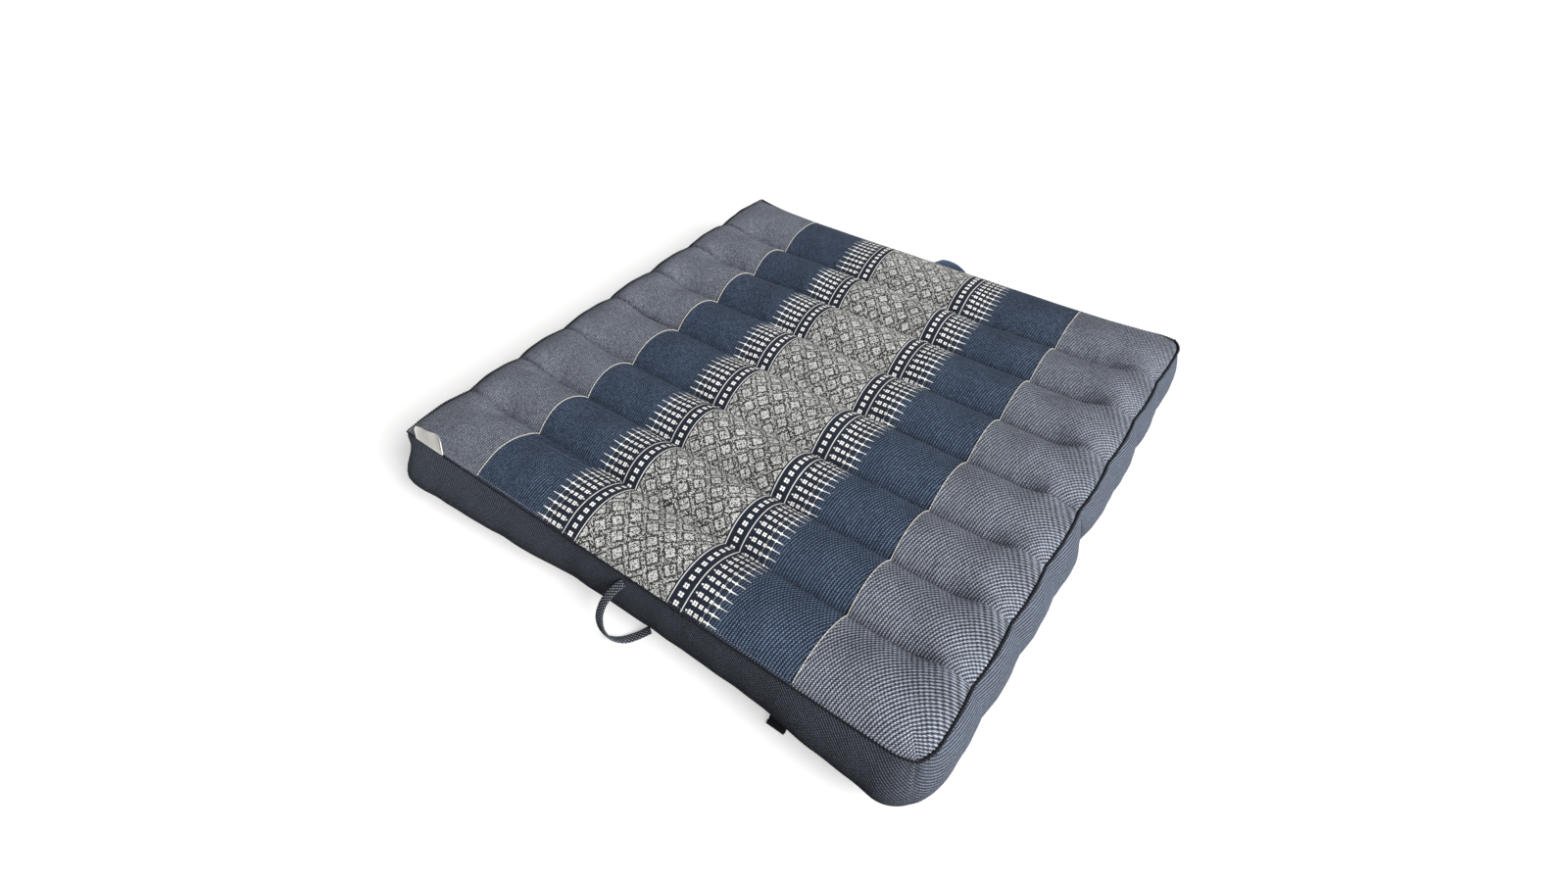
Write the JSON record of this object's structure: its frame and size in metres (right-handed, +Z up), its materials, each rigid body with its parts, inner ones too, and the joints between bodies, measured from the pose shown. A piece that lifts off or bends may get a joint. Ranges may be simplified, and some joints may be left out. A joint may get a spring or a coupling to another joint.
{
  "type": "folding cushion mat",
  "caption": "Square folding floor mat: two filled halves of sewn channels under one patterned top cloth, with a welted edge and a carrying loop on two sides.",
  "frame": {"origin": "the middle of the mat's outline, on the floor", "axes": "+X along the channels towards the right side, +Y across the channels from the front side, which has the label, to the far side, +Z up through the top cloth"},
  "size_m": [0.7605, 0.7936, 0.1126],
  "materials": {
    "cushion": "matte woven cotton",
    "edge_welt": "matte corded cotton",
    "trim_left": "matte corded cotton",
    "trim_right": "matte corded cotton",
    "handle_near": "matte woven cotton",
    "handle_far": "matte woven cotton",
    "label": "smooth woven tape",
    "strap_tab": "matte webbing"
  },
  "bodies": {
    "root": {"cushion": "cushion", "edge_welt": "edge_welt", "trim_left": "trim_left", "trim_right": "trim_right", "handle_near": "handle_near", "handle_far": "handle_far", "label": "label", "strap_tab": "strap_tab"}
  },
  "joints": []
}
